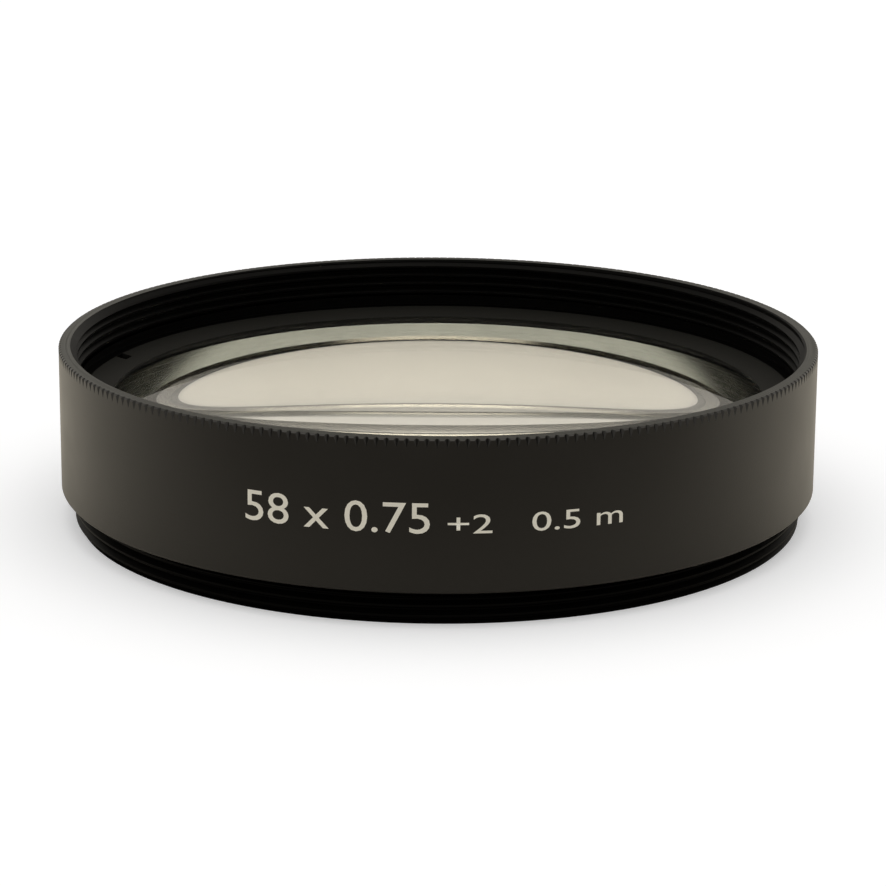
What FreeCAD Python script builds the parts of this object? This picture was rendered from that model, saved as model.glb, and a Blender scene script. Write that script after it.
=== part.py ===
"""Screw-in close-up lens: a cemented doublet held in a turned and anodised mount.

Units are millimetres. The origin is on the optical axis in the plane of the rear face, on which the
lens stands, and +Z points out of the front, towards the subject. Threads are left as plain walls: the
front hole at its crest radius, the rear collar at its outside radius.
"""
import FreeCAD
import Part

import os
from math import pi, radians, sqrt, tan

Vector = FreeCAD.Vector

# Screw threads
THREAD_SIZE = 58.0
THREAD_PITCH = 0.75
FRONT_THREAD_DEPTH = 4.05
LEAD_IN_CHAMFER = 0.5
RUN_OUT_WIDTH = 0.92
RUN_OUT_DEPTH = 0.45

# Mount, outside
WALL_OUTSIDE_THREAD = 1.0
COLLAR_HEIGHT = 2.6
COLLAR_PLAY = 0.05
COLLAR_CHAMFER = 0.25
RELIEF_WIDTH = 0.5
RELIEF_DEPTH = 0.55
LOWER_EDGE_CHAMFER = 0.22
UPPER_EDGE_CHAMFER = 0.12

# Mount, inside
SEAT_RISE = 1.26
SEAT_WIDTH = 0.6
REAR_MOUTH_CHAMFER = 0.25

# Milled grip edge
GRIP_PITCH = 0.714
GRIP_NOTCH_DEPTH = 0.22
GRIP_NOTCH_LENGTH = 0.68
GRIP_NOTCH_ANGLE = 100.0

# Doublet
FRONT_RADIUS = 244.0
CEMENTED_RADIUS = 207.0
REAR_RADIUS = 1600.0
FRONT_ELEMENT_THICKNESS = 4.25
REAR_ELEMENT_THICKNESS = 2.9
GLASS_PLAY = 0.05

# Retaining ring
RING_STEP = 0.394
RING_SKIRT_WALL = 0.75
RING_SKIRT_HEIGHT = 1.6
RING_OVERLAP = 1.4
RING_LIP = 0.16
RING_DISH = 0.44
RING_PLAY = 0.03
SLOT_WIDTH = 1.2
SLOT_LENGTH = 0.9
SLOT_DEPTH = 0.9
SLOT_ANGLE = 160.0

# How far the cutters reach past what they cut
CUTTER_OVERRUN = 0.7
CUTTER_SPREAD = 1.05

# Radii, each from the one outside it. The crest of a metric nut thread stands 1.0825 pitches inside
# its size, across the diameter.
METRIC_CREST_CUT = 1.0825
OUTER_R = THREAD_SIZE / 2 + WALL_OUTSIDE_THREAD
MALE_CREST_R = THREAD_SIZE / 2 - COLLAR_PLAY
FEMALE_CREST_R = (THREAD_SIZE - METRIC_CREST_CUT * THREAD_PITCH) / 2
RING_R = FEMALE_CREST_R - RING_STEP
GLASS_BORE_R = RING_R - RING_SKIRT_WALL
GLASS_R = GLASS_BORE_R - GLASS_PLAY
SEAT_R = GLASS_R - SEAT_WIDTH
APERTURE_R = GLASS_R - RING_OVERLAP
GRIP_NOTCHES = round(2 * pi * OUTER_R / GRIP_PITCH)


def sag(curvature_radius, r):
    """Height that a spherical surface falls away at the distance r from the axis."""
    return curvature_radius - sqrt(curvature_radius ** 2 - r ** 2)


# Heights, each from the one below it. The rear surface touches the seat's inner edge, the ring's lip
# touches the front surface at the clear aperture. The front thread ends in a run-out groove above the
# ring, so its crests start clear of the crown of the glass.
SEAT_HEIGHT = COLLAR_HEIGHT + SEAT_RISE
REAR_VERTEX_Z = SEAT_HEIGHT - sag(REAR_RADIUS, SEAT_R)
CEMENTED_VERTEX_Z = REAR_VERTEX_Z + REAR_ELEMENT_THICKNESS
FRONT_VERTEX_Z = CEMENTED_VERTEX_Z + FRONT_ELEMENT_THICKNESS
RING_SEAT_Z = FRONT_VERTEX_Z - sag(FRONT_RADIUS, APERTURE_R)
THREAD_END_Z = RING_SEAT_Z + RING_LIP + RING_DISH
RING_BOTTOM_Z = THREAD_END_Z - RING_SKIRT_HEIGHT
RIM_Z = THREAD_END_Z + FRONT_THREAD_DEPTH


def corner(r, z):
    return Vector(r, 0, z)


def polyline(points):
    return [Part.LineSegment(a, b).toShape() for a, b in zip(points, points[1:])]


def turned(edges):
    """Solid of revolution about the optical axis from the edges of a closed half section."""
    return Part.Face(Part.Wire(edges)).revolve(Vector(0, 0, 0), Vector(0, 0, 1), 360)


def turned_outline(points):
    return turned(polyline(points + points[:1]))


def spherical_edge(curvature_radius, vertex_z, side, r):
    """Arc of a lens surface from the axis to the distance r. side is 1 where it rises outwards."""
    middle = r / 2
    return Part.Arc(
        corner(0, vertex_z),
        corner(middle, vertex_z + side * sag(curvature_radius, middle)),
        corner(r, vertex_z + side * sag(curvature_radius, r)),
    ).toShape()


def lens_element(top_edge, bottom_edge):
    """Solid between two lens surfaces, closed by a ground cylindrical edge and the axis."""
    top_axis, top_rim = top_edge.firstVertex().Point, top_edge.lastVertex().Point
    bottom_axis, bottom_rim = bottom_edge.firstVertex().Point, bottom_edge.lastVertex().Point
    ground_edge = Part.LineSegment(top_rim, bottom_rim).toShape()
    axis_edge = Part.LineSegment(bottom_axis, top_axis).toShape()
    return turned([top_edge, ground_edge, bottom_edge, axis_edge])


def mount_body():
    """The turned mount before its edge is milled: collar, wall, seat, bores, run-out groove and lead-in."""
    relief_r = MALE_CREST_R - RELIEF_DEPTH
    relief_z = COLLAR_HEIGHT - RELIEF_WIDTH
    lead_in_r = FEMALE_CREST_R + LEAD_IN_CHAMFER
    run_out_r = FEMALE_CREST_R + RUN_OUT_DEPTH
    run_out_z = THREAD_END_Z + RUN_OUT_WIDTH
    ring_bore_r = RING_R + RING_PLAY
    return turned_outline([
        corner(SEAT_R + REAR_MOUTH_CHAMFER, 0),
        corner(MALE_CREST_R - COLLAR_CHAMFER, 0),
        corner(MALE_CREST_R, COLLAR_CHAMFER),
        corner(MALE_CREST_R, relief_z),
        corner(relief_r, relief_z),
        corner(relief_r, COLLAR_HEIGHT),
        corner(OUTER_R - LOWER_EDGE_CHAMFER, COLLAR_HEIGHT),
        corner(OUTER_R, COLLAR_HEIGHT + LOWER_EDGE_CHAMFER),
        corner(OUTER_R, RIM_Z - UPPER_EDGE_CHAMFER),
        corner(OUTER_R - UPPER_EDGE_CHAMFER, RIM_Z),
        corner(lead_in_r, RIM_Z),
        corner(FEMALE_CREST_R, RIM_Z - LEAD_IN_CHAMFER),
        corner(FEMALE_CREST_R, run_out_z),
        corner(run_out_r, run_out_z),
        corner(run_out_r, THREAD_END_Z),
        corner(ring_bore_r, THREAD_END_Z),
        corner(ring_bore_r, RING_BOTTOM_Z),
        corner(GLASS_BORE_R, RING_BOTTOM_Z),
        corner(GLASS_BORE_R, SEAT_HEIGHT),
        corner(SEAT_R, SEAT_HEIGHT),
        corner(SEAT_R, REAR_MOUTH_CHAMFER),
    ])


def grip_cutter():
    """One V cutter on the +X side, whose root runs from the rim outwards and down to the wall."""
    root_top = corner(OUTER_R - GRIP_NOTCH_DEPTH, RIM_Z)
    root_end = corner(OUTER_R, RIM_Z - GRIP_NOTCH_LENGTH)
    along = (root_end - root_top).normalize()
    outward = Vector(-along.z, 0, along.x)
    # The widest part of the cut is at the lower corner of the edge chamfer.
    edge_corner = corner(OUTER_R, RIM_Z - UPPER_EDGE_CHAMFER)
    reach = (edge_corner - root_top).dot(outward) * CUTTER_SPREAD
    half_width = reach * tan(radians(GRIP_NOTCH_ANGLE / 2))
    start = root_top - along * CUTTER_OVERRUN
    end = root_end + along * CUTTER_OVERRUN
    mouth = start + outward * reach
    side = Vector(0, half_width, 0)
    section = Part.makePolygon([start, mouth + side, mouth - side, start])
    return Part.Face(section).extrude(end - start)


def milled_grip_edge(body):
    """Cut the ring of short notches into the front outer edge."""
    cutter = grip_cutter()
    cutters = []
    for number in range(GRIP_NOTCHES):
        turned_cutter = cutter.copy()
        turned_cutter.rotate(Vector(0, 0, 0), Vector(0, 0, 1), 360.0 * number / GRIP_NOTCHES)
        cutters.append(turned_cutter)
    return body.cut(cutters)


def mount():
    return milled_grip_edge(mount_body())


def front_element():
    """Biconvex crown element, nearest the subject."""
    return lens_element(
        spherical_edge(FRONT_RADIUS, FRONT_VERTEX_Z, -1, GLASS_R),
        spherical_edge(CEMENTED_RADIUS, CEMENTED_VERTEX_Z, 1, GLASS_R),
    )


def rear_element():
    """Flint element, hollow on top, where the front element is cemented into it."""
    return lens_element(
        spherical_edge(CEMENTED_RADIUS, CEMENTED_VERTEX_Z, 1, GLASS_R),
        spherical_edge(REAR_RADIUS, REAR_VERTEX_Z, 1, GLASS_R),
    )


def ring_slot(angle):
    """Cutter for one spanner slot, open at the top and at the ring's outer edge."""
    slot = Part.makeBox(
        SLOT_LENGTH + CUTTER_OVERRUN, SLOT_WIDTH, SLOT_DEPTH + CUTTER_OVERRUN,
        Vector(RING_R - SLOT_LENGTH, -SLOT_WIDTH / 2, THREAD_END_Z - SLOT_DEPTH),
    )
    slot.rotate(Vector(0, 0, 0), Vector(0, 0, 1), angle)
    return slot


def retaining_ring():
    """Screwed ring: a dished face whose lip holds the glass, and a skirt round the glass edge."""
    ring = turned_outline([
        corner(APERTURE_R, RING_SEAT_Z),
        corner(GLASS_BORE_R, RING_SEAT_Z),
        corner(GLASS_BORE_R, RING_BOTTOM_Z),
        corner(RING_R, RING_BOTTOM_Z),
        corner(RING_R, THREAD_END_Z),
        corner(APERTURE_R, RING_SEAT_Z + RING_LIP),
    ])
    return ring.cut([ring_slot(SLOT_ANGLE), ring_slot(SLOT_ANGLE + 180)])


PARTS = {
    "mount": mount,
    "retaining_ring": retaining_ring,
    "front_element": front_element,
    "rear_element": rear_element,
}


def main():
    os.makedirs("parts", exist_ok=True)
    for name, build in PARTS.items():
        shape = build()
        shape.exportStep("parts/" + name + ".step")
        box = shape.BoundBox
        print(name, "valid", shape.isValid(), "solids", len(shape.Solids), "faces", len(shape.Faces),
              "volume", round(shape.Volume, 1), "z", round(box.ZMin, 3), "to", round(box.ZMax, 3))


main()
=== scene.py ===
# %% [markdown]
# # A screw-in close-up lens
# The real thing is four pieces: a mount turned from one aluminium tube and dyed black, a screwed
# ring that holds the glass down, and two glass elements cemented to each other. CAD has measured
# and packed them, so this script starts from that model and gives each piece its finished surface.
# Everything is in metres, in the model's own frame, so nothing has to be fitted into place.

# %% Load the frame
from math import pi, radians

import bmesh
import bpy
import numpy as np
from mathutils import Matrix, Vector


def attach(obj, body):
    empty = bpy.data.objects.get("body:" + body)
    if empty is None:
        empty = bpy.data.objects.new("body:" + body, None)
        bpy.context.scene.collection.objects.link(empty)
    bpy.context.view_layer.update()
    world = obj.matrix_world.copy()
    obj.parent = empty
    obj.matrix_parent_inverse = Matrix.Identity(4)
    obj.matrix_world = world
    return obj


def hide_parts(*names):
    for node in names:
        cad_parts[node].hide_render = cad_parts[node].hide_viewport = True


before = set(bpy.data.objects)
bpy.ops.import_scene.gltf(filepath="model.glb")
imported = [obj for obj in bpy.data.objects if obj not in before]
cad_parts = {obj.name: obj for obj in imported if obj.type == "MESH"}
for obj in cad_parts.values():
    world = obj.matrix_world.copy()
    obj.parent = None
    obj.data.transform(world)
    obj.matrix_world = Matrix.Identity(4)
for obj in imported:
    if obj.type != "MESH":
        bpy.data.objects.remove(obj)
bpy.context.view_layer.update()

# %% [markdown]
# ## The sizes
# A turned part is described by radii and heights, so the sizes are kept in millimetres, as on a
# drawing, and become metres only when a mesh is made. They could be read off the imported meshes, but
# a mesh has no names for its corners.

# %% Sizes from the drawing
MM = 0.001
OUTER_R, RIM_Z, COLLAR_Z = 30.0, 14.0465, 2.6
LOWER_EDGE, MOUTH_CHAMFER, COLLAR_CHAMFER, LEAD_IN = 0.22, 0.25, 0.25, 0.5
MALE_CREST_R, MALE_DEPTH = 28.95, 0.46
FEMALE_CREST_R, FEMALE_DEPTH = 28.594, 0.406
PITCH = 0.75
RELIEF_R, RELIEF_Z = MALE_CREST_R - 0.55, COLLAR_Z - 0.5
RUN_OUT_R, RUN_OUT_Z = 29.044, 10.9165
RING_R, THREAD_END_Z, RING_BOTTOM_Z, RING_SEAT_Z = 28.2, 9.9965, 8.3965, 9.3965
RING_LIP, RING_PLAY = 0.16, 0.03
GLASS_R, APERTURE_R, SEAT_R, SEAT_Z = 27.4, 26.0, 26.8, 3.86
GLASS_BORE_R = GLASS_R + 0.05
FRONT_R, CEMENTED_R, REAR_R = 244.0, 207.0, 1600.0
FRONT_Z, CEMENTED_Z, REAR_Z = 10.7855, 6.5355, 3.6355
NOTCHES = 264
print("outside", 2 * OUTER_R, "mm across and", RIM_Z, "mm high")

# %% [markdown]
# ## From a table of points to a mesh
# Each piece below is a grid: one direction runs along the cut section of the piece, the other round
# its axis. numpy works out all the points at once, and these helpers join neighbours into faces.
# Building with Spin or Screw modifiers would look alike, but a grid lets the section change on the
# way round, which the thread and the milled edge need.


# %% Grid helpers
def around(columns):
    """Angles of equal steps once round the axis, in radians."""
    return np.arange(columns) * 2 * pi / columns


def ring_points(r, z, angle):
    """Points at the distance r from the axis and the height z: x is r cos, y is r sin of the angle."""
    r, z, angle = np.broadcast_arrays(r, z, angle)
    return np.stack([r * np.cos(angle), r * np.sin(angle), z], -1)


def quads_between(first, second):
    """Faces between two closed rows of point numbers, each joined to the next all the way round."""
    return np.stack([first, np.roll(first, -1, -1), np.roll(second, -1, -1), second], -1).reshape(-1, 4)


# %% One object from points and faces
MERGE_DISTANCE, FLAT_EDGE, SHARP_ANGLE = 1e-7, 1e-8, radians(12)


def make_piece(name, points, faces, slots, face_slot=None):
    """One mesh object from points in millimetres. Doubles are merged, and edges over 12 degrees
    are sharp. A closed mesh whose volume comes out negative is inside out, and is turned."""
    mesh = bpy.data.meshes.new(name)
    mesh.from_pydata((points * MM).tolist(), [], faces)
    for slot in slots:
        mesh.materials.append(slot)
    if face_slot is not None:
        mesh.polygons.foreach_set("material_index", np.asarray(face_slot, np.int32))
    b = bmesh.new()
    b.from_mesh(mesh)
    bmesh.ops.remove_doubles(b, verts=b.verts, dist=MERGE_DISTANCE)
    bmesh.ops.dissolve_degenerate(b, edges=b.edges, dist=FLAT_EDGE)
    bmesh.ops.recalc_face_normals(b, faces=b.faces)
    if b.calc_volume(signed=True) < 0:
        bmesh.ops.reverse_faces(b, faces=b.faces)
    b.to_mesh(mesh)
    b.free()
    mesh.shade_smooth()
    mesh.set_sharp_from_angle(angle=SHARP_ANGLE)
    piece = bpy.data.objects.new(name, mesh)
    bpy.context.scene.collection.objects.link(piece)
    mesh.calc_loop_triangles()
    print(name, "has", len(mesh.loop_triangles), "triangles")
    return piece


# %% [markdown]
# ## Soft corners
# Nothing that was turned and anodised has a perfectly sharp corner: a hair-wide break catches the
# light. A Bevel modifier could do it, but the corners are known here, so each corner of a section
# becomes three points: one before it, one after it, and one half-way on a small curve.


# %% Break the corners of a section
def soften(corners, size=0.03):
    """Corners (r, z) of an open section. Each inner one becomes the start, middle and end of a small
    arc. The middle lies half-way between the corner and the middle of the arc's chord."""
    c = np.asarray(corners, float)
    middle = c[1:-1]
    back, ahead = c[:-2] - middle, c[2:] - middle
    lengths = np.linalg.norm(back, axis=1), np.linalg.norm(ahead, axis=1)
    start = middle + back * (np.minimum(size, lengths[0] / 3) / lengths[0])[:, None]
    end = middle + ahead * (np.minimum(size, lengths[1] / 3) / lengths[1])[:, None]
    arc = np.stack([start, (start + end) / 4 + middle / 2, end], 1).reshape(-1, 2)
    return np.concatenate([c[:1], arc, c[-1:]])


print("a square corner becomes", soften([(1, 0), (0, 0), (0, 1)]).round(4).tolist()[1:-1])

# %% [markdown]
# ## Metal finishes
# Anodising grows a hard, glassy, dyed skin on aluminium. It is nearly black from the front and turns
# pale at a glancing angle, which a dielectric surface with a moderate roughness does by itself. Fine
# tool marks run round every part. They are noise that is squeezed along the radius and the height
# and hardly changes round the axis, so they follow a turned surface without a UV map. A UV map with
# an image of brushed metal is more usual, but it would show a seam and repeat.


# %% Node helpers
def add_node(tree, kind, inputs=(), **settings):
    """A node with its settings. Its inputs are pairs: a name or number, and a value or the output
    socket of another node."""
    node = tree.nodes.new(kind)
    for key, value in settings.items():
        setattr(node, key, value)
    for key, value in inputs:
        if isinstance(value, bpy.types.NodeSocket):
            tree.links.new(value, node.inputs[key])
        else:
            node.inputs[key].default_value = value
    return node


def new_material(name):
    """An empty node material and its output node."""
    material = bpy.data.materials.new(name)
    material.use_nodes = True
    material.node_tree.nodes.clear()
    return material, add_node(material.node_tree, "ShaderNodeOutputMaterial")


def math(tree, operation, a, b=0.0):
    """Output of a Math node."""
    return add_node(tree, "ShaderNodeMath", [(0, a), (1, b)], operation=operation).outputs[0]


def noise(tree, place, scale, detail):
    """Noise from 0 to 1 over the given place."""
    return add_node(tree, "ShaderNodeTexNoise", [
        ("Vector", place), ("Scale", scale), ("Detail", detail)]).outputs[0]


def object_place(tree):
    """The point's own place on the piece, in metres."""
    return add_node(tree, "ShaderNodeTexCoord").outputs["Object"]


# %% Coordinates that follow a turned surface
MARKS_PER_METRE, DRIFT_PER_METRE, DRIFT_SKEW = 9000.0, 60.0, 0.6


def turned_coordinates(tree, place):
    """Distance from the axis and height, both times the marks in a metre, and a slow drift the way
    round, which is x plus 0.6 y times the drift in a metre."""
    parts = add_node(tree, "ShaderNodeSeparateXYZ", [(0, place)]).outputs
    flat = add_node(tree, "ShaderNodeCombineXYZ", [("X", parts["X"]), ("Y", parts["Y"])]).outputs[0]
    radius = add_node(tree, "ShaderNodeVectorMath", [(0, flat)], operation="LENGTH").outputs["Value"]
    skewed = math(tree, "ADD", parts["X"], math(tree, "MULTIPLY", parts["Y"], DRIFT_SKEW))
    return add_node(tree, "ShaderNodeCombineXYZ", [
        ("X", math(tree, "MULTIPLY", radius, MARKS_PER_METRE)),
        ("Y", math(tree, "MULTIPLY", parts["Z"], MARKS_PER_METRE)),
        ("Z", math(tree, "MULTIPLY", skewed, DRIFT_PER_METRE))]).outputs[0]


# %% [markdown]
# ## One recipe for every turned surface
# The outside is satin and the ring is matt. The threads and the collar get a darker, duller copy of the
# black, which is painted shade, since light hardly gets into them. The flat rim shows its tool marks most,
# and its paler black is painted light, for the light that its upward face catches. The bore under the
# glass shows only as a pale crescent through the glass. It is taken to be bare metal, turned after
# dyeing, with fine grooves. Grooves in the mesh would each only shade the next. So the finish tips its
# shading normal upwards, as the grooves' slopes do, and less at the foot, where they run out.


# %% The turned finishes
GRAIN_SCALE, CLOUD_SCALE = 7000.0, 140.0
ROUGHNESS_SPREAD, COLOUR_SPREAD, MARK_DISTANCE = 0.03, 0.15, 0.00001


def turned_finish(name, colour, roughness, shine, marks, relief=0.35, metal=0.0, groove_slope=0.0):
    """Turned metal: grain plus marks times the tool marks as bump, of the strength relief, and broad,
    faint clouds that vary its colour and roughness. Grooves too fine to model tip the shading normal
    up: normal plus slope times the Z axis, made unit length."""
    material, output = new_material(name)
    tree = material.node_tree
    place = object_place(tree)
    tool_marks = noise(tree, turned_coordinates(tree, place), 1.0, 3.0)
    grain = noise(tree, place, GRAIN_SCALE, 2.0)
    cloud = noise(tree, place, CLOUD_SCALE, 4.0)
    rough = add_node(tree, "ShaderNodeMapRange", [
        ("Value", cloud), ("From Min", 0.3), ("From Max", 0.7),
        ("To Min", roughness - ROUGHNESS_SPREAD), ("To Max", roughness + ROUGHNESS_SPREAD)]).outputs[0]
    height = math(tree, "ADD", math(tree, "MULTIPLY", tool_marks, marks), grain)
    normal = add_node(tree, "ShaderNodeBump", [
        ("Strength", relief), ("Distance", MARK_DISTANCE), ("Height", height)]).outputs[0]
    if groove_slope:
        tipped = add_node(tree, "ShaderNodeVectorMath", [(0, normal), (1, (0, 0, groove_slope))],
                          operation="ADD").outputs[0]
        normal = add_node(tree, "ShaderNodeVectorMath", [(0, tipped)], operation="NORMALIZE").outputs[0]
    shade = add_node(tree, "ShaderNodeMixRGB", [
        (0, cloud), (1, (*[c * (1 - COLOUR_SPREAD) for c in colour], 1)),
        (2, (*[c * (1 + COLOUR_SPREAD) for c in colour], 1))]).outputs[0]
    surface = add_node(tree, "ShaderNodeBsdfPrincipled", [
        ("Base Color", shade), ("Roughness", rough), ("Specular IOR Level", shine),
        ("Metallic", metal), ("Normal", normal)])
    tree.links.new(surface.outputs[0], output.inputs[0])
    return material


# %% The black and the bare finishes
MOUNT_BLACK = turned_finish("anodised_black_satin", (0.0045, 0.0042, 0.0038), 0.33, 0.5, marks=1.0)
RING_BLACK = turned_finish("anodised_black_matt", (0.0085, 0.0085, 0.0075), 0.62, 0.12, marks=1.5)
# The rim's strong tool marks are real. Its paler black is painted light on the upward face.
RIM_TURNED_PAINTED_LIGHT = turned_finish("anodised_black_turned_painted_light", (0.013, 0.0135, 0.0095), 0.36, 0.6, marks=16.0)
# A darker, duller copy of the black: painted shade for the threads and the collar, where light hardly gets
# in.
INSIDE_BLACK_PAINTED_SHADE = turned_finish("anodised_black_painted_shade", (0.0006, 0.0006, 0.0005), 0.42, 0.05, marks=1.0)
BORE_BARE = turned_finish("turned_bare_aluminium", (0.5, 0.52, 0.48), 0.15, 0.5, marks=0.3,
                          relief=0.06, metal=1.0, groove_slope=1.0)
FOOT_BARE = turned_finish("turned_foot_aluminium", (0.46, 0.44, 0.38), 0.12, 0.5, marks=0.3,
                          relief=0.06, metal=1.0, groove_slope=0.58)
MOUNT_FINISHES = [MOUNT_BLACK, INSIDE_BLACK_PAINTED_SHADE, BORE_BARE, FOOT_BARE, RIM_TURNED_PAINTED_LIGHT]
print("finishes of the mount:", [finish.name for finish in MOUNT_FINISHES])

# %% [markdown]
# ## The screw threads
# A 58 mm filter thread has a pitch of 0.75 mm. It isn't a stack of grooves but one groove that winds
# up like a spiral stair. So each row of the grid follows the helix, and where the circle closes, a
# row meets the row one whole turn further on. Rows that would leave the threaded zone are pressed
# flat against its end and merge there. Bump could fake a thread seen from afar, but here its crests
# show against the light.

# %% Thread profile and zone
# The shares of a turn at which the profile bends: crest, flank, root and flank, with broken corners.
# The heights there follow, and the last one closes the turn.
TURN_STEPS = np.array([0, 0.02, 0.23, 0.25, 0.56, 0.58, 0.67, 0.69])
STEP_HEIGHTS = [0.96, 1, 1, 0.96, 0.04, 0, 0, 0.04, 0.96]
ROWS_PER_TURN = len(TURN_STEPS)


def thread_height(phase):
    """Height over the root, from 0 to 1, of a 60 degree thread with flat crest and root, for the
    turn's share."""
    return np.interp(phase % 1.0, [*TURN_STEPS, 1.0], STEP_HEIGHTS)


def threaded_rows(z_low, z_high, radius_at, columns):
    """Rows (radius, height) of one helix between two heights. A row's height is its step plus the
    share of the circle, times the pitch. radius_at gives the radius for height and phase."""
    angle = around(columns)
    turns = (z_high - z_low) / PITCH + 1
    rows = int(np.ceil(ROWS_PER_TURN * turns)) + 1
    k = np.arange(rows + 1)
    step = k // ROWS_PER_TURN + TURN_STEPS[k % ROWS_PER_TURN]
    z = z_low - PITCH + PITCH * (step[:, None] + angle / (2 * pi))
    z = np.clip(z, z_low, z_high)
    phase = (z - z_low) / PITCH - angle / (2 * pi)
    return radius_at(z, phase), z


print("turns in front:", round((RIM_Z - RUN_OUT_Z) / PITCH, 1), "and behind:", round(RELIEF_Z / PITCH, 1))

# %% [markdown]
# ## The section of the mount
# The mount is one turned piece, so it is one mesh. Its section goes once round: down the outer wall,
# under the body, down the rear thread, across the rear face, up the bore past the seat and the front
# thread, and out over the rim. The wall is plain, so it needs few rows, and the threads take most.

# %% Section of the mount
COLUMNS = 2 * NOTCHES
ANGLE = around(COLUMNS)
BAND_LOW_Z, BAND_INNER_R = RIM_Z - 0.75, 29.6
FOOT_TOP_Z = 0.85
# Where the plain rows stop, each just short of the first or last row of a thread.
REAR_ROOT_R, REAR_FACE_R = MALE_CREST_R - 0.47, 28.4
FRONT_START_R, RIM_START_R = FEMALE_CREST_R - 0.02, FEMALE_CREST_R + 0.53

wall_and_step = soften([
    (OUTER_R, BAND_LOW_Z), (OUTER_R, COLLAR_Z + LOWER_EDGE), (OUTER_R - LOWER_EDGE, COLLAR_Z),
    (RELIEF_R, COLLAR_Z), (RELIEF_R, RELIEF_Z), (REAR_ROOT_R, RELIEF_Z)])
bore = soften([
    (REAR_FACE_R, 0), (SEAT_R + MOUTH_CHAMFER, 0), (SEAT_R, MOUTH_CHAMFER), (SEAT_R, FOOT_TOP_Z),
    (SEAT_R, SEAT_Z), (GLASS_BORE_R, SEAT_Z), (GLASS_BORE_R, RING_BOTTOM_Z),
    (RING_R + RING_PLAY, RING_BOTTOM_Z), (RING_R + RING_PLAY, THREAD_END_Z),
    (RUN_OUT_R, THREAD_END_Z), (RUN_OUT_R, RUN_OUT_Z), (FRONT_START_R, RUN_OUT_Z)])
rim_flat = np.array([(RIM_START_R, RIM_Z), (BAND_INNER_R - 0.05, RIM_Z)])


def rear_thread_radius(z, phase):
    """Outside thread: root plus its height, cut back by the 45 degree chamfer at the rear face."""
    r = MALE_CREST_R - MALE_DEPTH * (1 - thread_height(phase))
    return np.minimum(r, MALE_CREST_R - COLLAR_CHAMFER + z)


def front_thread_radius(z, phase):
    """Inside thread: crest plus its depth, opened by the 45 degree lead-in chamfer under the rim."""
    r = FEMALE_CREST_R + FEMALE_DEPTH * (1 - thread_height(phase))
    return np.maximum(r, FEMALE_CREST_R + LEAD_IN + z - RIM_Z)


print("plain rows:", len(wall_and_step), "outside and", len(bore), "in the bore")

# %% [markdown]
# ## The milled edge
# A cutter with a V edge nicks the front edge all the way round, as on a coin, so that fingers can
# turn the lens. It goes in at a slant: each notch is deepest at the rim and runs out on the wall. A
# Boolean with 264 cutters would do it and leave a ragged mesh. Here the rows of the grid follow the
# lines in which a notch meets the rim, the chamfer and the wall, so every line is a clean edge.

# %% The milled edge
NOTCH_DEPTH, NOTCH_LENGTH, EDGE_CHAMFER, HALF_ANGLE = 0.22, 0.68, 0.12, radians(50)
# How far a notch's cutting line is shifted where it crosses the chamfer's two edges, in millimetres,
# and the shares of a notch at which that happens, with its two ends and its middle.
CHAMFER_FROM, CHAMFER_TO = 0.0951, 0.1724
NOTCH_STEPS = np.array([0, 0.159, 0.288, 0.5, 0.712, 0.841])
FINE = NOTCHES * len(NOTCH_STEPS)


def milled_band():
    """Rows from the rim to the wall. A V notch moves its cutting line, which runs from (outer radius
    - depth, rim) to (outer radius, rim - length), outwards by the distance from the notch's middle
    divided by the tangent of half its angle. A row is where the line meets a face of the mount."""
    angle = ((np.arange(NOTCHES)[:, None] + NOTCH_STEPS) * 2 * pi / NOTCHES).ravel()
    distance = np.tile(np.minimum(NOTCH_STEPS, 1 - NOTCH_STEPS), NOTCHES) * 2 * pi * OUTER_R / NOTCHES
    shift = np.minimum(distance / np.tan(HALF_ANGLE), CHAMFER_TO)
    slant = np.hypot(NOTCH_DEPTH, NOTCH_LENGTH)
    r_rim = np.minimum(OUTER_R - NOTCH_DEPTH + shift * slant / NOTCH_LENGTH, OUTER_R - EDGE_CHAMFER)
    drop = EDGE_CHAMFER * np.clip((shift - CHAMFER_FROM) / (CHAMFER_TO - CHAMFER_FROM), 0, 1)
    run_out = RIM_Z - NOTCH_LENGTH + shift * slant / NOTCH_DEPTH
    flat, wall = np.full(FINE, RIM_Z), np.full(FINE, OUTER_R)
    r = np.stack([np.full(FINE, BAND_INNER_R), r_rim, r_rim + drop, wall, wall])
    z = np.stack([flat, flat, flat - drop, run_out, np.full(FINE, BAND_LOW_Z)])
    return r, z, angle


print(NOTCHES, "notches,", round(2 * pi * OUTER_R / NOTCHES, 3), "mm apart")

# %% [markdown]
# ## Which face gets which finish
# The mount is one piece of metal with several finishes, and a face knows where it is, so its middle
# decides. Separate objects for the rim or the bore would leave seams where the metal has none.

# %% Finishes by place
COLLAR_FROM_R = 28.0


def face_finish(centres):
    """Place in MOUNT_FINISHES of each face's finish, from the face's middle: 4, with painted light, on the
    flat rim, 3 on the foot of the bore, 2 above it, 1, which is painted shade, in the front hole and on the
    rear collar, 0 elsewhere. The small allowances put the broken corners on the right side."""
    r, z = np.hypot(centres[:, 0], centres[:, 1]), centres[:, 2]
    in_bore = (r < SEAT_R + 0.02) & (z > MOUTH_CHAMFER + 0.01) & (z < SEAT_Z - 0.02)
    in_front_hole = (r < RUN_OUT_R + 0.1) & (z > SEAT_Z) & (z < RIM_Z - 0.001)
    on_collar = (r > COLLAR_FROM_R) & (z < COLLAR_Z - 0.01)
    places = [in_bore & (z < FOOT_TOP_Z), in_bore, in_front_hole | on_collar, z > RIM_Z - 0.001]
    return np.select(places, [3, 2, 1, 4], 0)


# %% [markdown]
# ## Join the mount's rows
# Plain rows, helical rows and the finer rows of the milled band become one closed skin. The helical
# rows don't close on themselves, so their last column joins the first one a turn higher. Where the
# fine band meets a coarse row, one wide face takes in all the fine steps along its edge.


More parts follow.
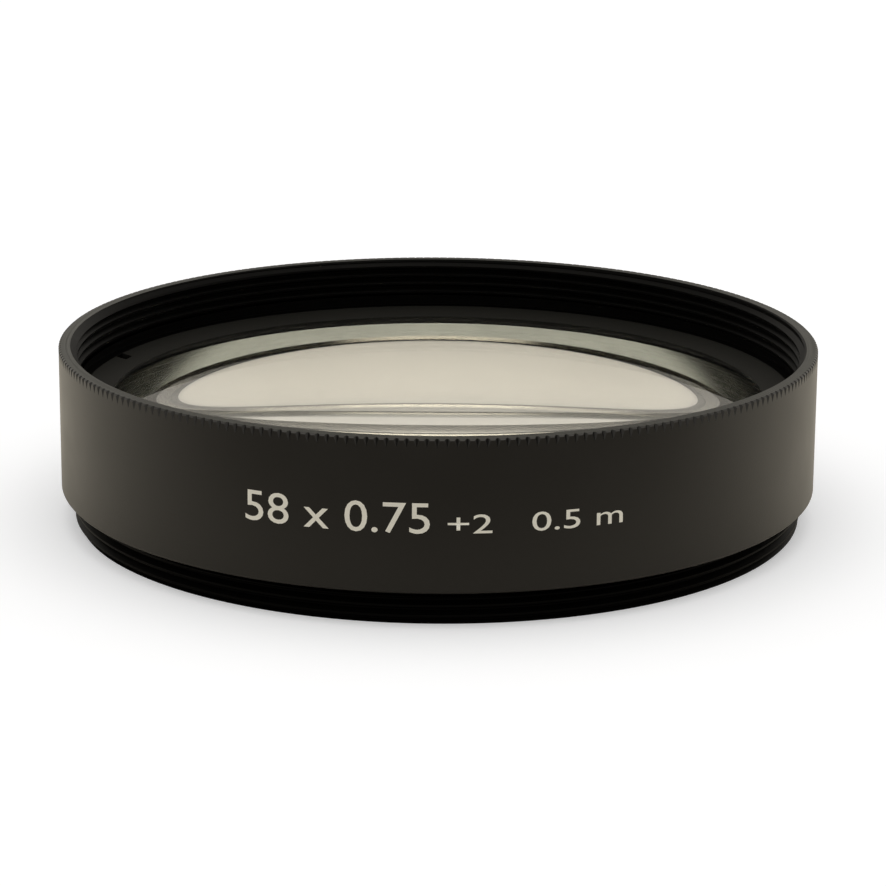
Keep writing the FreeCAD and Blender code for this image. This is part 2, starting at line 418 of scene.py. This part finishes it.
# %% Faces between unlike rows
def fan(coarse, fine):
    """Faces from a coarse closed row to a fine one: each takes one coarse edge and the fine points
    that lie between its two ends."""
    ladder = fine.reshape(len(coarse), -1)
    ladder = np.concatenate([ladder, np.roll(fine, -ladder.shape[1]).reshape(ladder.shape)[:, :1]], 1)
    return np.concatenate([ladder, np.roll(coarse, -1)[:, None], coarse[:, None]], 1)


def spiral_faces(numbers):
    """Faces between helical rows, and across the place where the circle closes, one turn higher."""
    a, b = numbers[:-1, :-1], numbers[:-1, 1:]
    c, d = numbers[1:, 1:], numbers[1:, :-1]
    low, high = numbers[:-ROWS_PER_TURN, -1], numbers[ROWS_PER_TURN:, 0]
    return [np.stack([a, b, c, d], -1).reshape(-1, 4),
            np.stack([low[:-1], high[:-1], high[1:], low[1:]], -1)]


# %% Join the mount's rows
def mount_grid():
    """Points, faces and finishes of the mount: three plain zones, two helical ones, and the milled
    band, joined in the order of the section."""
    points, faces, start = [], [], 0

    def block(r, z, angle):
        nonlocal start
        p = ring_points(r, z, angle)
        numbers = start + np.arange(p.shape[0] * p.shape[1]).reshape(p.shape[:2])
        points.append(p.reshape(-1, 3))
        start += numbers.size
        return numbers

    def plain(section):
        numbers = block(section[:, :1], section[:, 1:], ANGLE)
        faces.append(quads_between(numbers[:-1], numbers[1:]))
        return numbers

    def helical(z_low, z_high, radius_at):
        numbers = block(*threaded_rows(z_low, z_high, radius_at, COLUMNS), ANGLE)
        faces.extend(spiral_faces(numbers))
        return numbers

    upper = plain(wall_and_step)
    rear = helical(0.0, RELIEF_Z, rear_thread_radius)
    middle = plain(bore)
    front = helical(RUN_OUT_Z, RIM_Z, front_thread_radius)
    rim = plain(rim_flat)
    band = block(*milled_band())
    faces.append(quads_between(band[:-1], band[1:]))
    joints = ((upper[-1], rear[-1]), (rear[0], middle[0]), (middle[-1], front[0]), (front[-1], rim[0]))
    faces.extend([quads_between(one, other) for one, other in joints])
    faces.extend([fan(rim[-1], band[0]), fan(upper[0], band[-1])])
    points = np.concatenate(points)
    finish = np.concatenate([face_finish(points[part].mean(1)) for part in faces])
    return points, [f for part in faces for f in part.tolist()], finish


# %% Make the mount
mount_points, mount_faces, mount_finish = mount_grid()
mount = make_piece("turned_mount", mount_points, mount_faces, MOUNT_FINISHES, mount_finish)
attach(mount, "root")
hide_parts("mount")

# %% [markdown]
# ## The retaining ring
# A flat, dished ring screws down on the glass. A spanner with two pins turns it, so it has two slots
# that are open to its edge. Cutting them with a Boolean would work too. Here the columns at a slot's
# sides come in pairs: the outer one of a pair stays on the face and the inner one drops to the
# slot's floor, which leaves upright walls.

# %% Columns of a ring with two spanner slots
SLOT_ANGLE, SLOT_HALF_WIDTH, SLOT_INNER_R, SLOT_FLOOR_Z = 160.0, 0.6, 27.3, THREAD_END_Z - 0.9
DISH_TOP_Z, CORNER, ROWS_BEFORE_SLOT = RING_SEAT_Z + RING_LIP, 0.03, 5


def ring_columns():
    """Angles of the ring's columns in radians, and which of them lie on a slot's floor. The second
    half turn repeats the first."""
    half = np.degrees(np.arcsin(SLOT_HALF_WIDTH / RING_R))
    plain = np.linspace(0, 180, 181)[:-1]
    plain = plain[np.abs(plain - SLOT_ANGLE) > half + 0.2]
    at = np.searchsorted(plain, SLOT_ANGLE)
    angles = np.insert(plain, at, SLOT_ANGLE + half * np.array([-1, -1, -0.5, 0, 0.5, 1, 1]))
    in_slot = np.insert(np.zeros(len(plain), bool), at, [False, True, True, True, True, True, False])
    return np.radians(np.concatenate([angles, angles + 180])), np.concatenate([in_slot, in_slot])


# %% Section of the ring
def ring_grid():
    """Section points carried round. The dished face rises evenly from the lip to the edge, and in a
    slot every face point beyond its inner end lies on the slot's floor."""
    angles, in_slot = ring_columns()
    face_r = np.array([APERTURE_R, APERTURE_R + CORNER, 26.6, SLOT_INNER_R - 0.02,
                       SLOT_INNER_R, SLOT_INNER_R, RING_R - CORNER, RING_R])
    dish = DISH_TOP_Z + (THREAD_END_Z - DISH_TOP_Z) * (face_r - APERTURE_R) / (RING_R - APERTURE_R)
    face_z = np.repeat(dish[:, None], len(angles), 1)
    face_z[ROWS_BEFORE_SLOT:, in_slot] = SLOT_FLOOR_Z
    outer_z = np.array([THREAD_END_Z - CORNER, SLOT_FLOOR_Z, RING_BOTTOM_Z])
    wall_z = np.repeat(outer_z[:, None], len(angles), 1)
    wall_z[0, in_slot] = SLOT_FLOOR_Z
    under = np.array([(GLASS_BORE_R, RING_BOTTOM_Z), (GLASS_BORE_R, RING_SEAT_Z), (APERTURE_R, RING_SEAT_Z)])
    r = np.concatenate([face_r, np.full(3, RING_R), under[:, 0]])[:, None]
    z = np.concatenate([face_z, wall_z, np.repeat(under[:, 1:], len(angles), 1)])
    grid = ring_points(r, z, angles)
    numbers = np.arange(grid.shape[0] * grid.shape[1]).reshape(grid.shape[:2])
    return grid.reshape(-1, 3), quads_between(numbers, np.roll(numbers, -1, 0)).tolist()


# %% Make the ring
ring = make_piece("slotted_ring", *ring_grid(), [RING_BLACK])
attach(ring, "root")
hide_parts("retaining_ring")

# %% [markdown]
# ## Glass
# Crown glass bends light with an index of 1.517 and the flint behind it with 1.62. Where they are
# cemented there is no air, so light only meets the step from one to the other: the upper surface of
# the flint gets the ratio of the two as its index, and the lower surface of the crown, which lies on
# it, lets light straight through. Two closed glass bodies with air between them would be simpler and
# wrong, because that gap would mirror. The edge of each element is ground and lacquered black, which
# keeps stray light out of the picture.

# %% Glass finishes
CROWN_INDEX, FLINT_INDEX, GRINDING_SCALE = 1.517, 1.62, 2500.0


def polished(name, tint, index):
    """Clear glass with that index against what lies outside it."""
    material, output = new_material(name)
    surface = add_node(material.node_tree, "ShaderNodeBsdfPrincipled", [
        ("Base Color", (*tint, 1)), ("Roughness", 0.0), ("IOR", index), ("Transmission Weight", 1.0)])
    material.node_tree.links.new(surface.outputs[0], output.inputs[0])
    return material


def unseen(name):
    """The face in the cement: light passes it unchanged."""
    material, output = new_material(name)
    surface = add_node(material.node_tree, "ShaderNodeBsdfTransparent")
    material.node_tree.links.new(surface.outputs[0], output.inputs[0])
    return material


def ground(name, colour):
    """Ground and lacquered glass edge: matt, with the grain of the grinding wheel."""
    material, output = new_material(name)
    tree = material.node_tree
    grain = noise(tree, object_place(tree), GRINDING_SCALE, 3.0)
    shade = add_node(tree, "ShaderNodeMixRGB", [
        (0, grain), (1, (*[c * 0.85 for c in colour], 1)), (2, (*colour, 1))]).outputs[0]
    bump = add_node(tree, "ShaderNodeBump", [
        ("Strength", 0.2), ("Distance", 0.00002), ("Height", grain)]).outputs[0]
    surface = add_node(tree, "ShaderNodeBsdfPrincipled", [
        ("Base Color", shade), ("Roughness", 0.7), ("Specular IOR Level", 0.2), ("Normal", bump)])
    tree.links.new(surface.outputs[0], output.inputs[0])
    return material


# %% The five faces of the glass
CROWN = polished("crown_glass_coated", (0.995, 1.0, 0.99), CROWN_INDEX)
FLINT = polished("flint_glass_coated", (1.0, 1.0, 0.985), FLINT_INDEX)
CEMENT_STEP = polished("flint_glass_cemented", (1.0, 1.0, 1.0), FLINT_INDEX / CROWN_INDEX)
CEMENT_CLEAR = unseen("crown_glass_cemented")
GROUND_EDGE = ground("blackened_glass_edge", (0.02, 0.02, 0.017))
print("index of the cemented step:", round(FLINT_INDEX / CROWN_INDEX, 4))

# %% [markdown]
# ## The two elements
# A lens surface is a piece of a large sphere. Its depth at the distance r from the axis is the
# sphere's radius less the root of that radius squared less r squared. Light bends by the normal of
# the surface, so the grid is fine and smooth, and each pole is closed with one point.

# %% Lens surfaces
GLASS_COLUMNS, GLASS_RINGS, CEMENT_GAP = 240, 48, 0.002


def cap(sphere_r, vertex_z, side):
    """Radii from near the axis to the edge, and the height of a spherical surface over each."""
    r = GLASS_R * np.linspace(0, 1, GLASS_RINGS + 1)[1:]
    return r, vertex_z + side * (sphere_r - np.sqrt(sphere_r ** 2 - r ** 2))


def lens_element(name, top, bottom, top_pole, bottom_pole, slots):
    """Closed glass body: a top surface, a ground edge and a bottom surface, with slots for the three."""
    r = np.concatenate([top[0], bottom[0][::-1]])
    z = np.concatenate([top[1], bottom[1][::-1]])
    grid = ring_points(r[:, None], z[:, None], around(GLASS_COLUMNS))
    numbers = np.arange(grid.shape[0] * GLASS_COLUMNS).reshape(-1, GLASS_COLUMNS)
    body = quads_between(numbers[:-1], numbers[1:])
    row = np.repeat(np.arange(len(r) - 1), GLASS_COLUMNS)
    face_slot = np.where(row < GLASS_RINGS - 1, 0, np.where(row == GLASS_RINGS - 1, 1, 2))
    poles = np.array([[0, 0, top_pole], [0, 0, bottom_pole]])
    first, last = numbers.size, numbers.size + 1
    tip = np.stack([np.roll(numbers[0], -1), numbers[0], np.full(GLASS_COLUMNS, first)], -1)
    base = np.stack([numbers[-1], np.roll(numbers[-1], -1), np.full(GLASS_COLUMNS, last)], -1)
    faces = body.tolist() + tip.tolist() + base.tolist()
    face_slot = np.concatenate([face_slot, np.zeros(GLASS_COLUMNS), np.full(GLASS_COLUMNS, 2)])
    return make_piece(name, np.concatenate([grid.reshape(-1, 3), poles]), faces, slots, face_slot)


# %% Make the two elements
crown = lens_element(
    "crown_element", cap(FRONT_R, FRONT_Z, -1), cap(CEMENTED_R, CEMENTED_Z + CEMENT_GAP, 1),
    FRONT_Z, CEMENTED_Z + CEMENT_GAP, [CROWN, GROUND_EDGE, CEMENT_CLEAR])
flint = lens_element(
    "flint_element", cap(CEMENTED_R, CEMENTED_Z, 1), cap(REAR_R, REAR_Z, 1),
    CEMENTED_Z, REAR_Z, [CEMENT_STEP, GROUND_EDGE, FLINT])
for element, node, slot in ((crown, "front_element", "coated_crown_glass"),
                            (flint, "rear_element", "coated_flint_glass")):
    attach(element, "root")
    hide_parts(node)

# %% [markdown]
# ## The marking
# Filters carry their thread and strength in white on the wall. Plain numbers stand here. Text is made
# a mesh first, then cut into narrow strips, and only then bent round the wall, because a wide flat
# face would cut through the cylinder. An image would be easier to place, but it blurs up close.

# %% Text as a mesh
MARKING_BASE_Z, MARKING_R, STRIP_WIDTH = 7.15, OUTER_R + 0.006, 0.3


def read_points(mesh):
    """All points of a mesh as an array."""
    values = np.zeros(len(mesh.vertices) * 3, np.float32)
    mesh.vertices.foreach_get("co", values)
    return values.reshape(-1, 3)


def flat_text(name, words):
    """The words as a flat mesh in the XY plane."""
    curve = bpy.data.curves.new(name, "FONT")
    curve.body, curve.size, curve.resolution_u = words, 1.0, 4
    flat = bpy.data.objects.new(name + "_flat", curve)
    bpy.context.scene.collection.objects.link(flat)
    bpy.context.view_layer.update()
    mesh = bpy.data.meshes.new_from_object(flat)
    bpy.data.objects.remove(flat)
    mesh.name = name
    return mesh


def fit_and_cut(mesh, cap_height, length):
    """Scale flat text to its height and length, cut it into strips, and give the x of its left end."""
    points = read_points(mesh)
    top, low, high = float(points[:, 1].max()), float(points[:, 0].min()), float(points[:, 0].max())
    stretch = length / (high - low)
    b = bmesh.new()
    b.from_mesh(mesh)
    bmesh.ops.scale(b, vec=(stretch, cap_height / top, 1.0), verts=b.verts)
    low, high = low * stretch, high * stretch
    for cut in np.arange(low, high, STRIP_WIDTH)[1:]:
        bmesh.ops.bisect_plane(b, geom=b.verts[:] + b.edges[:] + b.faces[:],
                               plane_co=(cut, 0, 0), plane_no=(1, 0, 0))
    b.to_mesh(mesh)
    b.free()
    return low


# %% Bend it round the wall
def wall_text(name, words, cap_height, left_angle, right_angle, material):
    """Text bent round the wall: its angle is the start plus the distance along the line / radius."""
    mesh = flat_text(name, words)
    length = radians(right_angle - left_angle) * MARKING_R
    low = fit_and_cut(mesh, cap_height, length)
    points = read_points(mesh)
    x, y = points[:, 0] - low, points[:, 1]
    bent = ring_points(MARKING_R, MARKING_BASE_Z + y, radians(left_angle) + x / MARKING_R) * MM
    mesh.vertices.foreach_set("co", bent.astype(np.float32).ravel())
    mesh.materials.append(material)
    mesh.shade_smooth()
    piece = bpy.data.objects.new(name, mesh)
    bpy.context.scene.collection.objects.link(piece)
    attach(piece, "root")
    print(name, "is", round(length, 1), "mm long")


# %% White numbers on the wall
PAINT_SCALE = 1500.0


def paint(name, colour):
    """Printed paint, a little uneven."""
    material, output = new_material(name)
    tree = material.node_tree
    cloud = noise(tree, object_place(tree), PAINT_SCALE, 3.0)
    shade = add_node(tree, "ShaderNodeMixRGB", [
        (0, cloud), (1, (*[c * 0.9 for c in colour], 1)), (2, (*colour, 1))]).outputs[0]
    surface = add_node(tree, "ShaderNodeBsdfPrincipled", [("Base Color", shade), ("Roughness", 0.55)])
    tree.links.new(surface.outputs[0], output.inputs[0])
    return material


MARKING_WHITE = paint("marking_white", (0.92, 0.92, 0.86))
wall_text("marking_large", "58 x 0.75", 2.25, 242.9, 269.1, MARKING_WHITE)
wall_text("marking_small", "+2   0.5 m", 1.4, 271.5, 296.3, MARKING_WHITE)

# %% [markdown]
# ## The floor
# The lens stands on white card. What the camera sees directly is white, with the lens's shadow. What
# metal mirrors is a warmer card with painted shade that darkens it towards the camera, and under the
# glass it carries a painted shadow of the mount. What shows through the glass is the same warm card
# with a little light of its own, so that it stays even and pale inside the mount. One plain white card
# would be simpler, and would make the bore and the wall too bright.

# %% The card
FLOOR_REACH, CARD_NEAR_Y, CARD_FAR_Y = 3.0, -0.065, 0.002
# The colour near the camera is painted shade, and the colour under the glass is a painted shadow of the
# mount.
CARD_NEAR, CARD_FAR, CARD_PAINTED_SHADOW_UNDER_GLASS = (0.28, 0.26, 0.23, 1), (0.8, 0.77, 0.7, 1), (0.12, 0.1, 0.07, 1)
CARD_THROUGH_GLASS, CARD_TO_CAMERA = (0.85, 0.82, 0.75, 1), (0.8, 0.838, 0.92, 1)
WHITE, WHITE_GLOW, PALE, PALE_GLOW = (1, 1, 1, 1), 0.3, (1.0, 0.93, 0.8, 1), 0.42


def glowing_card(tree, colour, glow, strength):
    """Matt card that also shines a little by itself."""
    card = add_node(tree, "ShaderNodeBsdfDiffuse", [("Color", colour)]).outputs[0]
    light = add_node(tree, "ShaderNodeEmission", [("Color", glow), ("Strength", strength)]).outputs[0]
    return add_node(tree, "ShaderNodeAddShader", [(0, card), (1, light)]).outputs[0]


def floor_finish():
    """White card with the shadow to the camera; warm card to other rays, with painted shade towards the
    camera and a painted shadow under the glass in what metal mirrors.
    """
    material, output = new_material("card_floor")
    tree = material.node_tree
    path = add_node(tree, "ShaderNodeLightPath").outputs
    depth = add_node(tree, "ShaderNodeSeparateXYZ", [(0, object_place(tree))]).outputs["Y"]
    # Painted shade: the card that metal mirrors darkens towards the camera.
    near = add_node(tree, "ShaderNodeMapRange", [
        ("Value", depth), ("From Min", CARD_NEAR_Y), ("From Max", CARD_FAR_Y)],
        interpolation_type="SMOOTHSTEP").outputs[0]
    card_with_painted_shade = add_node(tree, "ShaderNodeMixRGB", [(0, near), (1, CARD_NEAR), (2, CARD_FAR)]).outputs[0]
    # Painted shadow of the mount: mirrored rays that have passed through the glass see the darker card.
    painted_shadow_under_glass = math(tree, "GREATER_THAN", path["Transmission Depth"], 0.5)
    shaded = add_node(tree, "ShaderNodeMixRGB", [
        (0, painted_shadow_under_glass), (1, card_with_painted_shade), (2, CARD_PAINTED_SHADOW_UNDER_GLASS)]).outputs[0]
    mirrored = add_node(tree, "ShaderNodeBsdfDiffuse", [("Color", shaded)]).outputs[0]
    to_camera = glowing_card(tree, CARD_TO_CAMERA, WHITE, WHITE_GLOW)
    through_glass = glowing_card(tree, CARD_THROUGH_GLASS, PALE, PALE_GLOW)
    unseen_directly = add_node(tree, "ShaderNodeMixShader", [
        (0, path["Is Transmission Ray"]), (1, mirrored), (2, through_glass)]).outputs[0]
    surface = add_node(tree, "ShaderNodeMixShader", [
        (0, path["Is Camera Ray"]), (1, unseen_directly), (2, to_camera)])
    tree.links.new(surface.outputs[0], output.inputs[0])
    return material


# %% Lay the floor
floor_mesh = bpy.data.meshes.new("card_floor")
corners = FLOOR_REACH * np.array([(-1, -1, 0), (1, -1, 0), (1, 1, 0), (-1, 1, 0)])
floor_mesh.from_pydata(corners.tolist(), [], [(0, 1, 2, 3)])
floor_mesh.materials.append(floor_finish())
floor = bpy.data.objects.new("card_floor", floor_mesh)
bpy.context.scene.collection.objects.link(floor)
print("floor", 2 * FLOOR_REACH, "m wide")

# %% [markdown]
# ## The studio
# Lamps could light this, but the world gives softer light with less noise. Black metal shows only
# what it mirrors, so the room is drawn as zones of the sky, and each zone fades into the next.

# %% Zones of the sky
world = bpy.data.worlds.new("studio")
bpy.context.scene.world = world
world.use_nodes = True
sky = world.node_tree
sky.nodes.clear()


def fade(value, start, end, low, high):
    """Soft step from low to high as the value goes from start to end."""
    return add_node(sky, "ShaderNodeMapRange", [
        ("Value", value), ("From Min", start), ("From Max", end), ("To Min", low), ("To Max", high)],
        interpolation_type="SMOOTHSTEP").outputs[0]


def times(a, b):
    """Product of two values, numbers or sockets."""
    return math(sky, "MULTIPLY", a, b)


def plus(a, b):
    """Sum of two values, numbers or sockets."""
    return math(sky, "ADD", a, b)


direction = add_node(sky, "ShaderNodeTexCoord").outputs["Generated"]
heading = add_node(sky, "ShaderNodeSeparateXYZ", [(0, direction)]).outputs
side = math(sky, "ABSOLUTE", heading["X"])

# %% [markdown]
# Metal mirrors a pale warm room that is a touch dimmer behind the camera. Low behind the lens it has
# a narrow dark strip, and overhead it has a soft box.

# %% The room that metal mirrors
ROOM_LIGHT, DARK_STRIP, SOFT_BOX = 0.72, 0.92, 0.85
camera_side = fade(heading["Y"], -0.95, -0.25, 0.95, 1.0)
back_wall = fade(heading["Y"], 0.35, 0.75, 0.0, 1.0)
low_strip = times(fade(heading["Z"], 0.3, 0.55, DARK_STRIP, 0.0), fade(side, 0.06, 0.2, 1.0, 0.0))
beside_strip = math(sky, "SUBTRACT", 1.0, times(back_wall, low_strip))
room_light = times(times(camera_side, beside_strip), ROOM_LIGHT)
soft_box = fade(heading["Z"], 0.78, 0.9, 0.0, SOFT_BOX)
room = add_node(sky, "ShaderNodeBackground", [
    ("Color", (1.0, 0.95, 0.86, 1)), ("Strength", plus(room_light, soft_box))]).outputs[0]

# %% [markdown]
# Light that leaves through the glass is what the bore and the inner faces mirror. It needs stronger
# contrast than the room: a dome overhead that stops short of the sides, a key light high on the
# camera's side, a pale card low behind the lens, and almost nothing between them.

# %% The light above the glass
DOME, KEY, CARD_BEHIND, REST = 1.35, 2.2, 0.72, 0.03
dome = times(fade(heading["Z"], 0.48, 0.64, 0.0, DOME), fade(side, 0.76, 0.9, 1.0, 0.0))
key = times(fade(heading["Z"], 0.25, 0.4, 0.0, KEY),
            times(fade(heading["Y"], -0.7, -0.5, 1.0, 0.0), fade(side, 0.4, 0.6, 1.0, 0.0)))
card_behind = times(fade(side, 0.25, 0.4, CARD_BEHIND, 0.0), fade(heading["Z"], 0.5, 0.6, 1.0, 0.0))
above_glass = add_node(sky, "ShaderNodeBackground", [
    ("Color", (1.0, 0.94, 0.82, 1)),
    ("Strength", plus(plus(dome, card_behind), plus(key, REST)))]).outputs[0]

# %% [markdown]
# The camera itself sees a plain white background of strength 1, in place of more light on the lens.

# %% Join the studio
backdrop = add_node(sky, "ShaderNodeBackground", [("Color", WHITE), ("Strength", 1.0)]).outputs[0]
ray = add_node(sky, "ShaderNodeLightPath").outputs
lit = add_node(sky, "ShaderNodeMixShader", [
    (0, ray["Is Transmission Ray"]), (1, room), (2, above_glass)]).outputs[0]
seen = add_node(sky, "ShaderNodeMixShader", [(0, ray["Is Camera Ray"]), (1, lit), (2, backdrop)]).outputs[0]
sky.links.new(seen, add_node(sky, "ShaderNodeOutputWorld").inputs[0])
bpy.context.scene.view_settings.view_transform = "Standard"
print("the sky has", len(sky.nodes), "nodes")

# %% [markdown]
# ## Bounces
# Light is mirrored many times inside the glass before it comes out near the edge. With the usual
# limit on bounces those paths end too early and leave black, grainy bands, so the limit is raised.

# %% Bounces
MOST_BOUNCES = 32
bounces = bpy.context.scene.cycles
bounces.max_bounces = bounces.glossy_bounces = bounces.transmission_bounces = MOST_BOUNCES
print("light may bounce", bounces.transmission_bounces, "times in glass")

# %% [markdown]
# ## The camera
# It looks down at 14 degrees from 24 cm. Its tilt, roll, distance and focal length come from a fit of
# the rim, the wall and the collar, all circles of known size. The lens is a little off the middle of
# the camera's axis, so the frame is shifted up instead of tilting the camera, which would lean the
# wall's upright edges.

# %% The camera
TILT, ROLL, DISTANCE, AIM_Z = 0.243, 0.007, 242.515, 6.0
MOVE_RIGHT, MOVE_UP = 0.415, 7.223
FRAME_PX, FOCAL_PX, SHIFT_PX, SENSOR_MM = 886, 3024.331, 98.379, 36.0
forward = Vector((0, np.cos(TILT), -np.sin(TILT)))
level = Vector((1, 0, 0))
upward = level.cross(forward)
right = level * np.cos(ROLL) + upward * np.sin(ROLL)
up = upward * np.cos(ROLL) - level * np.sin(ROLL)
place = Vector((0, 0, AIM_Z)) - forward * DISTANCE + right * MOVE_RIGHT + up * MOVE_UP
camera_data = bpy.data.cameras.new("photo_camera")
camera_data.sensor_width = SENSOR_MM
camera_data.lens = FOCAL_PX / FRAME_PX * SENSOR_MM
camera_data.shift_y = -SHIFT_PX / FRAME_PX
camera_data.clip_start, camera_data.clip_end = 0.01, 20.0
camera = bpy.data.objects.new("photo_camera", camera_data)
camera.matrix_world = Matrix((
    (right.x, up.x, -forward.x, place.x * MM), (right.y, up.y, -forward.y, place.y * MM),
    (right.z, up.z, -forward.z, place.z * MM), (0, 0, 0, 1)))
bpy.context.scene.collection.objects.link(camera)
bpy.context.scene.camera = camera
print("focal length", round(camera_data.lens, 1), "mm")

# %% [markdown]
# ## The finished pieces
# The finished pieces must be as large as the measured model. Only the marking stands proud of the
# wall, by the thickness of its paint.

# %% Bring the scene up to date
bpy.context.view_layer.update()
